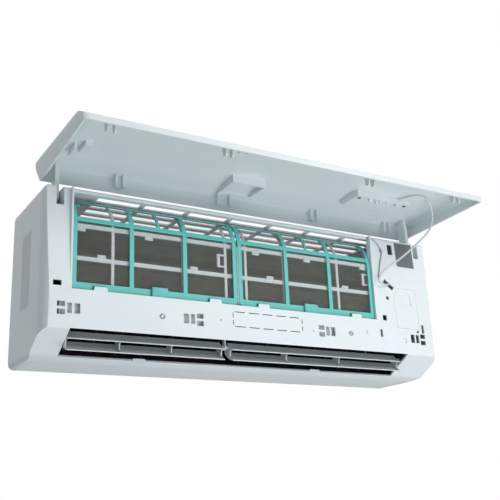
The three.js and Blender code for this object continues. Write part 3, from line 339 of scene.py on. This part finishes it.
slit_width = 0.0015
slit_length = 0.021
slit_pitch = 0.029
slit_out = 0.002
slit_in = 0.0022
cuts = []
for k in range(5):
    left = -0.066 + k * slit_pitch
    for low in (-0.0795, -0.106):
        cuts.append(face_block(left, left + slit_length, low, low + slit_width, slit_out, slit_in))
for left in (-0.070, 0.0765):
    for low, high in ((-0.103, -0.094), (-0.090, -0.081)):
        cuts.append(face_block(left, left + slit_width, low, high, slit_out, slit_in))
for x, z, radius in ((-0.094, -0.096, 0.0012), (0.101, -0.101, 0.0012), (0.291, -0.019, 0.0022)):
    clear_selection()
    bpy.ops.mesh.primitive_cylinder_add(vertices=20, radius=radius, depth=0.006,
                                        location=(x, -face_depth(z), z),
                                        rotation=(math.radians(90), 0, 0))
    bpy.ops.object.transform_apply(location=True, rotation=True, scale=True)
    cuts.append(bpy.context.object)
slits = joined("slits", cuts)
# The cut walls of the slits and holes take the painted shade.
slits.data.materials.append(slit_shade_and_dark_heads)
front_frame = dressed("front_frame", casing_white, cutter=slits)
bpy.data.objects.remove(slits)
seat(front_frame, "casing", "casing", "front_frame")

# ---- Bare plates
# A dark anodised plate is glued to the face right of the filters, and a rectangle of paper to the
# casing's left end. Both are blank.

plate_grey = moulded("plate_grey", (0.105, 0.125, 0.14), 0.45, 2400.0, 0.3)
bare_plate = face_block(0.3270, 0.3728, 0.0525, 0.1045, 0.0003, -0.00005)
bare_plate.name = "blank_plate"
clear_selection()
bpy.context.view_layer.objects.active = bare_plate
bare_plate.select_set(True)
corner = bare_plate.modifiers.new("corners", "BEVEL")
corner.width = 0.00012
corner.segments = 2
apply_all(bare_plate)
bare_plate.data.materials.append(plate_grey)
seat(bare_plate, "casing", "terminal")

clear_selection()
bpy.ops.mesh.primitive_plane_add(size=1, location=(0, 0, 0))
paper = bpy.context.object
paper.name = "end_paper"
paper_corners = ((-0.110, -0.082), (-0.063, -0.082), (-0.110, 0.048), (-0.060, 0.048))
casing_end = -0.4101
for vertex, (y, z) in zip(paper.data.vertices, paper_corners):
    vertex.co = (casing_end, y, z)
sheet = paper.modifiers.new("sheet", "SOLIDIFY")
sheet.thickness = 0.00025
sheet.offset = 0
soft_edge = paper.modifiers.new("soft_edge", "BEVEL")
soft_edge.width = 0.00006
soft_edge.segments = 2
apply_all(paper)
paper_white = moulded("paper_white", (0.80, 0.82, 0.85), 0.75, 1500.0, 0.03)
paper.data.materials.append(paper_white)
seat(paper, "casing", "casing")

# ---- Frame screws and covers
# Two countersunk screws hold the frame to the drain pan; a snap-in cover closes the terminals, and
# a small round cap sits beside the manual button.

screw_steel = moulded("screw_steel", (0.34, 0.36, 0.38), 0.35, 700.0, 0.15)
screw_steel.node_tree.nodes["Principled BSDF"].inputs["Metallic"].default_value = 0.85
for node in ("frame_screw_1", "frame_screw_2"):
    seat(dressed(node, screw_steel, 0.0003), "casing", "screw", node)
seat(dressed("service_cover", casing_white, 0.0005), "casing", "casing", "service_cover")
seat(dressed("screw_cap", casing_white, 0.0006), "casing", "casing", "screw_cap")
seat(dressed("manual_button", casing_white, 0.0006), "manual_button", "casing", "manual_button")

# ---- Rear chassis
# One pale polystyrene moulding carries everything: the scroll and air duct, the coil seats, the end
# walls and the slots for the mounting plate's two hooks. Inside the scroll and duct it is painted
# near-black, painted shade for the deep air path.

chassis_pale = moulded("chassis_pale", (0.80, 0.84, 0.85), 0.5, 500.0, 0.08)
# Painted shade: near-black for the faces of the scroll and duct, standing in for the shade deep in the air
# path.
duct_painted_shade = moulded("duct_painted_shade", (0.012, 0.013, 0.015), 0.5, 500.0, 0.4)


fan_y, fan_z = -0.086, -0.062
scroll_start, scroll_end = 50, -62
scroll_radius, scroll_growth = 0.048, 0.000185
duct_floor_y, duct_floor_z = -0.0537, -0.1227
duct_floor_slope = 0.0377 / 0.0633
duct_left, duct_right = -0.3782, 0.3317
duct_front, duct_back, duct_top = -0.19, -0.05, -0.085
blade_reach = 0.050


def in_air_path(middle):
    """Whether a face lies on the scroll round the fan or on the duct between the end walls."""
    if not duct_left < middle.x < duct_right:
        return False
    across, up = middle.y - fan_y, middle.z - fan_z
    turn = math.degrees(math.atan2(up, across))
    on_scroll = scroll_end < turn < scroll_start
    reach = scroll_radius + scroll_growth * (scroll_start - turn) if on_scroll else blade_reach
    if math.hypot(across, up) < reach + 0.001:
        return True
    floor_height = duct_floor_z + (middle.y - duct_floor_y) * duct_floor_slope
    return duct_front < middle.y < duct_back and floor_height - 0.0012 < middle.z < duct_top


# The faces in the air path wear the painted shade.
chassis = dressed("rear_chassis", chassis_pale, 0.0003, inner=(duct_painted_shade, in_air_path))
seat(chassis, "casing", "chassis", "rear_chassis")

# ---- Mounting plate and drain pan
# The plate is pressed galvanised steel, screwed to the wall. The pan is expanded polystyrene in a
# plastic skin and catches the coil's water.

zinc = moulded("galvanised", (0.60, 0.63, 0.66), 0.38, 160.0, 0.35)
zinc.node_tree.nodes["Principled BSDF"].inputs["Metallic"].default_value = 0.85
foam = moulded("pan_foam", (0.70, 0.73, 0.74), 0.85, 420.0, 0.12, 0.0002)
seat(dressed("mounting_plate", zinc, 0.0003), "casing", "zinc", "mounting_plate")
seat(dressed("drain_pan", foam, 0.0008), "casing", "foam", "drain_pan")

# ---- Coils
# Three packs of thin corrugated aluminium fins pressed on hairpin copper tubes. The fins wear an
# olive coat that lets water run off; their dull olive colour is partly that coat and partly painted shade.


def fin_finish():
    finish, tree, shader = new_finish("fin_coat_and_shade", 0.5, 0.35)
    where = place(tree, "ShaderNodeTexCoord").outputs["Object"]
    rows = place(tree, "ShaderNodeSeparateXYZ", {0: where})
    step = place(tree, "ShaderNodeMath", {0: rows.outputs["Z"], 1: 48.0}, operation="MULTIPLY")
    saw = place(tree, "ShaderNodeMath", {0: step.outputs[0]}, operation="FRACT")
    line = place(tree, "ShaderNodeMath", {0: saw.outputs[0], 1: 0.10}, operation="LESS_THAN")
    patch = place(tree, "ShaderNodeTexNoise", {"Vector": where, "Scale": 30.0, "Detail": 2.0})
    ramp = place(tree, "ShaderNodeValToRGB", {"Fac": patch.outputs["Fac"]})
    # Painted shade: these olive tones are partly the fins' coat and partly shade among the fins painted into
    # it.
    ramp.color_ramp.elements[0].color = (0.25, 0.228, 0.165, 1)
    ramp.color_ramp.elements[1].color = (0.42, 0.39, 0.29, 1)
    tone = place(tree, "ShaderNodeMixRGB", {"Fac": line.outputs[0], "Color1": ramp.outputs["Color"],
                                            "Color2": (0.42, 0.37, 0.22, 1)})
    tree.links.new(tone.outputs[0], shader.inputs["Base Color"])
    return finish


fin_coat_and_shade = fin_finish()
copper = moulded("copper", (0.62, 0.29, 0.15), 0.32, 120.0, 0.3)
copper.node_tree.nodes["Principled BSDF"].inputs["Metallic"].default_value = 0.95


fin_pitch = 0.0019
fin_sheet = 0.00015
fin_ripple = 0.0002
end_clearance = 0.0004
tube_radius = 0.0035


def fin_pack(node, foot, head, thick):
    """Fins of one block between its foot and head, (depth, height) at mid thickness, along X."""
    (foot_y, foot_z), (head_y, head_z) = foot, head
    length = math.hypot(head_y - foot_y, head_z - foot_z)
    lean = math.atan2(head_y - foot_y, head_z - foot_z)
    clear_selection()
    bpy.ops.mesh.primitive_grid_add(x_subdivisions=1, y_subdivisions=5, size=1)
    fins = bpy.context.object
    fins.name = node + "_fins"
    fins.scale = (thick, length, 1)
    bpy.ops.object.transform_apply(scale=True)
    for vertex in fins.data.vertices:
        ripple = fin_ripple * (-1) ** round((vertex.co.y / length + 0.5) * 5)
        vertex.co = Vector((ripple, vertex.co.x, vertex.co.y))
    fins.data.transform(Matrix.Rotation(-lean, 4, "X"))
    low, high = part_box(node)
    middle = (low[0] + end_clearance, (foot_y + head_y) / 2, (foot_z + head_z) / 2)
    fins.data.transform(Matrix.Translation(middle))
    sheet = fins.modifiers.new("sheet", "SOLIDIFY")
    sheet.thickness = fin_sheet
    rows = fins.modifiers.new("rows", "ARRAY")
    rows.count = int((high[0] - low[0] - 2 * end_clearance) / fin_pitch) + 1
    rows.use_relative_offset = False
    rows.use_constant_offset = True
    rows.constant_offset_displace = (fin_pitch, 0, 0)
    apply_all(fins)
    fins.data.materials.append(fin_coat_and_shade)
    pipes = []
    for share in (0.125, 0.375, 0.625, 0.875):
        y, z = foot_y + (head_y - foot_y) * share, foot_z + (head_z - foot_z) * share
        clear_selection()
        bpy.ops.mesh.primitive_cylinder_add(vertices=14, radius=tube_radius, depth=high[0] - low[0],
                                            end_fill_type="NGON", location=((low[0] + high[0]) / 2, y, z),
                                            rotation=(0, math.radians(90), 0))
        bpy.ops.object.transform_apply(location=True, rotation=True, scale=True)
        pipes.append(bpy.context.object)
    pipe = joined(node + "_tubes", pipes)
    bpy.ops.object.shade_smooth_by_angle(angle=math.radians(40))
    pipe.data.materials.append(copper)
    seat(fins, "casing", "fins", node)
    seat(pipe, "casing", "copper")


fin_pack("evaporator_lower", (-0.148, -0.068), (-0.148, 0.002), 0.024)
fin_pack("evaporator_upper", (-0.142, 0.011), (-0.092, 0.064), 0.024)
fin_pack("evaporator_rear", (-0.036, 0.008), (-0.064, 0.064), 0.018)
for node in ("tube_plate_left", "tube_plate_right"):
    seat(dressed(node, zinc, 0.0002), "casing", "zinc", node)
for node in ("gas_pipe", "liquid_pipe"):
    seat(dressed(node, copper, 0, crisp=50), "casing", "copper", node)

# ---- Cross-flow fan
# A barrel of curved black blades between plain discs, driven by the motor at the right end and
# carried by a rubber bearing at the left.

fan_black = moulded("fan_black", (0.022, 0.024, 0.026), 0.45, 300.0, 0.3)
rubber = moulded("bearing_rubber", (0.018, 0.018, 0.019), 0.85, 300.0, 0.3)
motor_steel = moulded("motor_can", (0.42, 0.44, 0.47), 0.38, 260.0, 0.2)
motor_steel.node_tree.nodes["Principled BSDF"].inputs["Metallic"].default_value = 0.6
seat(dressed("fan_wheel", fan_black, 0), "fan", "fan", "fan_wheel")
seat(dressed("motor_shaft", screw_steel, 0.0003), "fan", "screw", "motor_shaft")
seat(dressed("fan_bearing", rubber, 0.0004), "casing", "rubber", "fan_bearing")
seat(dressed("fan_motor", motor_steel, 0.001), "casing", "motor", "fan_motor")
seat(dressed("motor_clamp", zinc, 0.0003), "casing", "chassis", "motor_clamp")

# ---- Louvers and vanes
# Two long pale blades steer the air up and down and turn together; seven upright black vanes behind
# each swing side to side on one link.

louver_pale = moulded("louver_pale", (0.62, 0.66, 0.67), 0.4)
vane_black = moulded("vane_black", (0.016, 0.018, 0.019), 0.5)
for node in ("louver_left", "louver_right"):
    seat(dressed(node, louver_pale, 0.0004), node, "louver", node)
seat(dressed("louver_centre_support", louver_pale, 0.0004), "casing", "louver", "louver_centre_support")
seat(dressed("louver_motor", motor_steel, 0.0008), "casing", "motor", "louver_motor")
for side in ("left", "right"):
    for number in range(1, 8):
        node = f"vane_{side}_{number}"
        seat(dressed(node, vane_black, 0.0003), node, "louver", node)
    node = f"vane_link_{side}"
    seat(dressed(node, vane_black, 0.0003), node, "louver", node)

# ---- Air filters
# Each filter is a turquoise polypropylene frame with a woven net welded to its back. It is held at
# the sill by two white tongues of the casing and lifted at its grip.

net_pitch = 0.0014
thread_share = 0.12


def net_finish():
    finish, tree, shader = new_finish("net_weave", 0.8)
    uv = place(tree, "ShaderNodeUVMap", uv_map="UVMap")
    split = place(tree, "ShaderNodeSeparateXYZ", {0: uv.outputs["UV"]})
    threads = []
    for axis in ("X", "Y"):
        saw = place(tree, "ShaderNodeMath", {0: split.outputs[axis]}, operation="FRACT")
        thread = place(tree, "ShaderNodeMath", {0: saw.outputs[0], 1: thread_share}, operation="LESS_THAN")
        threads.append(thread.outputs[0])
    weave = place(tree, "ShaderNodeMath", {0: threads[0], 1: threads[1]}, operation="MAXIMUM")
    tone = place(tree, "ShaderNodeMixRGB", {"Fac": threads[0], "Color1": (0.26, 0.27, 0.26, 1),
                                            "Color2": (0.36, 0.38, 0.37, 1)})
    tree.links.new(tone.outputs[0], shader.inputs["Base Color"])
    tree.links.new(weave.outputs[0], shader.inputs["Alpha"])
    return finish


filter_turquoise = moulded("filter_turquoise", (0.115, 0.53, 0.50), 0.42)
net_weave = net_finish()
filter_y = -0.176
filter_foot = -0.0654
bend_height = 0.045
bend_radius = 0.060
net_set_back = 0.0021


def filter_line(along):
    """Where the filter's middle surface is, in Y and Z, at a length along it from its foot."""
    straight = bend_height - filter_foot
    if along <= straight:
        return filter_y, filter_foot + along
    angle = (along - straight) / bend_radius
    across = filter_y + bend_radius
    return across - bend_radius * math.cos(angle), bend_height + bend_radius * math.sin(angle)


def filter_net(side):
    low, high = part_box("filter_net_" + side)
    first = 0.009
    last = bend_height - filter_foot + bend_radius * math.radians(57)
    clear_selection()
    bpy.ops.mesh.primitive_grid_add(x_subdivisions=6, y_subdivisions=30, size=1, calc_uvs=True)
    net = bpy.context.object
    net.name = f"net_{side}"
    for vertex in net.data.vertices:
        along = first + (vertex.co.y + 0.5) * (last - first)
        y, z = filter_line(along)
        ahead = filter_line(along + 0.0005)
        back = net_set_back * Vector((0, ahead[1] - z, y - ahead[0])).normalized()
        vertex.co = Vector((low[0] + (vertex.co.x + 0.5) * (high[0] - low[0]), y + back.y, z + back.z))
    for loop in net.data.uv_layers[0].data:
        loop.uv = (loop.uv[0] * (high[0] - low[0]) / net_pitch, loop.uv[1] * (last - first) / net_pitch)
    net.data.uv_layers[0].name = "UVMap"
    bpy.ops.object.shade_smooth()
    net.data.materials.append(net_weave)
    return net


def trim_block(name, low, high, finish, edge=0.0008):
    """A small moulded block with rounded edges between two corners, drafted towards its front."""
    clear_selection()
    bpy.ops.mesh.primitive_cube_add(size=1, location=[(a + b) / 2 for a, b in zip(low, high)])
    block = bpy.context.object
    block.name = name
    block.scale = [b - a for a, b in zip(low, high)]
    bpy.ops.object.transform_apply(location=True, rotation=True, scale=True)
    for vertex in block.data.vertices:
        if vertex.co.y < (low[1] + high[1]) / 2:
            vertex.co.x += math.copysign(edge / 2, (low[0] + high[0]) / 2 - vertex.co.x)
            vertex.co.z += math.copysign(edge / 2, (low[2] + high[2]) / 2 - vertex.co.z)
    rounded = block.modifiers.new("rounded", "BEVEL")
    rounded.width = edge
    rounded.segments = 3
    apply_all(block)
    bpy.ops.object.shade_smooth_by_angle(angle=math.radians(35))
    block.data.materials.append(finish)
    return block


grip_half = 0.015
grip_front, grip_back = -0.1822, -0.1768
grip_foot, grip_top = -0.0635, -0.0485
for side, middle in (("left", -0.2077), ("right", 0.1027)):
    node = "filter_frame_" + side
    seat(dressed(node, filter_turquoise, 0.0007), "filter_" + side, "filter", node)
    grip = trim_block("grip_" + side, (middle - grip_half, grip_front, grip_foot),
                      (middle + grip_half, grip_back, grip_top), filter_turquoise)
    seat(grip, "filter_" + side, "filter")
    seat(filter_net(side), "filter_" + side, "net", "filter_net_" + side)

# ---- Filter support
# A light lattice that the nets lean on, clipped between the guides of the front frame. Small tabs,
# two end clips and a thin divider between the filters stand on its front.

lattice_white = moulded("lattice_white", (0.78, 0.82, 0.83), 0.5)
seat(dressed("filter_support", lattice_white, 0.0004, merge=False), "casing", "chassis", "filter_support")
tab_half, tab_height = 0.0075, 0.0065
clip_half = 0.003
arm_length, arm_height = 0.013, 0.0035
tab_front, tab_back = -0.1728, -0.1698
arm_front, arm_back = -0.1727, -0.1699
lattice_edge = 0.0005
tabs = [trim_block("tab", (x - tab_half, tab_front, z), (x + tab_half, tab_back, z + tab_height),
                   lattice_white, lattice_edge)
        for x, z in ((-0.309, -0.0075), (-0.138, -0.0075), (0.0195, -0.0075), (0.193, -0.0075),
                     (-0.345, 0.0362), (-0.224, 0.0362), (-0.010, 0.0362), (0.105, 0.0362), (0.240, 0.0362))]
tabs += [trim_block("clip", (x - clip_half, tab_front, 0.004), (x + clip_half, tab_back, 0.029),
                    lattice_white, lattice_edge)
         for x in (-0.0885, 0.2395)]
tabs += [trim_block("arm", (left, arm_front, z), (left + arm_length, arm_back, z + arm_height),
                    lattice_white, lattice_edge)
         for left in (-0.0890, 0.2390) for z in (0.0042, 0.0253)]
seat(joined("lattice_tabs", tabs), "casing", "chassis")
rib = trim_block("filter_divider", (-0.0540, -0.1790, -0.0640), (-0.0525, -0.1700, 0.0450),
                 lattice_white, 0.0004)
seat(rib, "casing", "chassis")

# ---- Electrical box
# A moulded plastic box behind the right end of the face keeps the wiring from the air and the
# water. The green control board stands in it, with the black supply terminals below.


def board_finish():
    finish, tree, shader = new_finish("board_green", 0.45)
    where = place(tree, "ShaderNodeTexCoord").outputs["Object"]
    tracks = place(tree, "ShaderNodeTexBrick",
                   {"Vector": where, "Scale": 60.0, "Color1": (0.02, 0.16, 0.07, 1),
                    "Color2": (0.03, 0.21, 0.10, 1), "Mortar": (0.10, 0.36, 0.18, 1)})
    tree.links.new(tracks.outputs["Color"], shader.inputs["Base Color"])
    return finish


board_green = board_finish()
terminal_black = moulded("terminal_black", (0.03, 0.033, 0.036), 0.5)
seat(dressed("electrical_box", lattice_white, 0.0004), "casing", "grille", "electrical_box")
seat(dressed("control_board", board_green, 0.0002), "casing", "board", "control_board")
seat(dressed("terminal_block", terminal_black, 0.0004), "casing", "terminal", "terminal_block")

# ---- Front panel
# One long dished ABS moulding, glossy outside, with ribs, latch tongues, a catch box and two hinge
# arms inside.

panel_white = moulded("panel_white", (0.75, 0.81, 0.825), 0.30)
seat(dressed("front_panel", panel_white, 0.0006), "panel", "panel", "front_panel")

# ---- Display housing
# A white tray screwed to the panel's inner skin holds the display board behind the panel. Five small
# fittings and two screw heads sit on the edge that is underneath while the panel is open.

seat(dressed("display_housing", panel_white, 0.0005), "panel", "panel", "display_housing")
seat(dressed("display_board", board_green, 0.0002), "panel", "board", "display_board")
low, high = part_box("display_housing")
front = low[1] + 0.002
fittings = []
for x, width, tall, deep in ((0.030, 0.010, 0.006, 0.005), (0.046, 0.006, 0.009, 0.004),
                             (0.056, 0.004, 0.005, 0.007), (0.074, 0.016, 0.004, 0.004),
                             (0.098, 0.007, 0.007, 0.005)):
    left = low[0] + x
    fittings.append(trim_block("fitting", (left, front, low[2] - tall),
                               (left + width, front + deep, low[2] + 0.0006), panel_white, 0.0006))
seat(joined("display_fittings", fittings), "panel", "panel")
heads = [trim_block("head", (x, low[1] + 0.006, low[2] - 0.0009),
                    (x + 0.007, low[1] + 0.011, low[2] + 0.0004), slit_shade_and_dark_heads, 0.0003)
         for x in (low[0] + 0.006, high[0] - 0.013)]
seat(joined("display_screws", heads), "panel", "screw")

# ---- Sensor lead
# A thin two-core lead in a grey plastic sleeve lies over the face beside the right filter, from the
# filter's top corner down towards the slot of the display cable.

lead_corners = [(x, -(face_depth(z) + 0.0016), z)
                for x, z in ((0.262, 0.104), (0.274, 0.102), (0.285, 0.089),
                             (0.290, 0.080), (0.284, 0.060), (0.273, 0.022))]
lead = drawn_tube("air_sensor_lead", smooth_route(lead_corners, 10), 0.0012, 12)
lead.data.materials.append(sleeve_finish("lead_sleeve", (0.50, 0.55, 0.57), 0.8))
seat(lead, "casing", "darkWire", "sensor_lead")

# ---- Lamps, world and floor
# Plain soft light from the front right and above, a fill from below, a white surround and a pale
# floor well under the unit.


def soft_lamp(name, place_at, aim, size, power, colour=(1, 1, 1)):
    lamp_data = bpy.data.lights.new(name, "AREA")
    lamp_data.shape = "RECTANGLE"
    lamp_data.size, lamp_data.size_y = size
    lamp_data.energy = power
    lamp_data.color = colour
    lamp = bpy.data.objects.new(name, lamp_data)
    lamp.location = place_at
    lamp.rotation_euler = (Vector(aim) - Vector(place_at)).to_track_quat("-Z", "Y").to_euler()
    bpy.context.scene.collection.objects.link(lamp)


soft_lamp("key_lamp", (1.0, -2.2, 1.0), (0, -0.15, 0), (1.6, 1.2), 21)
soft_lamp("top_lamp", (-0.2, -0.6, 2.2), (0, -0.15, 0), (1.8, 1.2), 13)
soft_lamp("low_fill", (0.3, -1.1, -0.85), (0.05, -0.12, 0.0), (1.6, 0.6), 12)

world = bpy.data.worlds.new("surround")
world.use_nodes = True
bpy.context.scene.world = world
tree = world.node_tree
tree.nodes.clear()
paths = place(tree, "ShaderNodeLightPath")
seen = place(tree, "ShaderNodeMath", {0: paths.outputs["Is Camera Ray"], 1: paths.outputs["Is Glossy Ray"]},
             operation="MAXIMUM")
seen = place(tree, "ShaderNodeMath", {0: seen.outputs[0], 1: paths.outputs["Is Transmission Ray"]},
             operation="MAXIMUM")
around = place(tree, "ShaderNodeBackground", {"Color": (0.84, 0.93, 0.94, 1), "Strength": 0.33})
white = place(tree, "ShaderNodeBackground", {"Color": (1, 1, 1, 1), "Strength": 1.0})
mixed = place(tree, "ShaderNodeMixShader", {0: seen.outputs[0], 1: around.outputs[0], 2: white.outputs[0]})
place(tree, "ShaderNodeOutputWorld", {"Surface": mixed.outputs[0]})

clear_selection()
bpy.ops.mesh.primitive_plane_add(size=60, location=(0, 0, -0.95))
floor = bpy.context.object
floor.name = "floor"
floor_finish, tree, shader = new_finish("floor_pale", 0.9)
speck = place(tree, "ShaderNodeTexNoise", {"Scale": 40.0, "Detail": 2.0})
tree.links.new(place(tree, "ShaderNodeTexCoord").outputs["Object"], speck.inputs["Vector"])
ramp = place(tree, "ShaderNodeValToRGB", {"Fac": speck.outputs["Fac"]})
ramp.color_ramp.elements[0].color = (0.80, 0.81, 0.82, 1)
ramp.color_ramp.elements[1].color = (0.86, 0.87, 0.88, 1)
tree.links.new(ramp.outputs["Color"], shader.inputs["Base Color"])
floor_paths = place(tree, "ShaderNodeLightPath")
pale = place(tree, "ShaderNodeEmission", {"Color": (0.93, 0.94, 0.95, 1), "Strength": 1.0})
share = place(tree, "ShaderNodeMath", {0: floor_paths.outputs["Is Camera Ray"], 1: 0.6}, operation="MULTIPLY")
lifted = place(tree, "ShaderNodeMixShader", {0: share.outputs[0], 1: shader.outputs[0], 2: pale.outputs[0]})
tree.links.new(lifted.outputs[0], tree.nodes["Material Output"].inputs["Surface"])
floor.data.materials.append(floor_finish)

bpy.context.scene.view_settings.view_transform = "Standard"
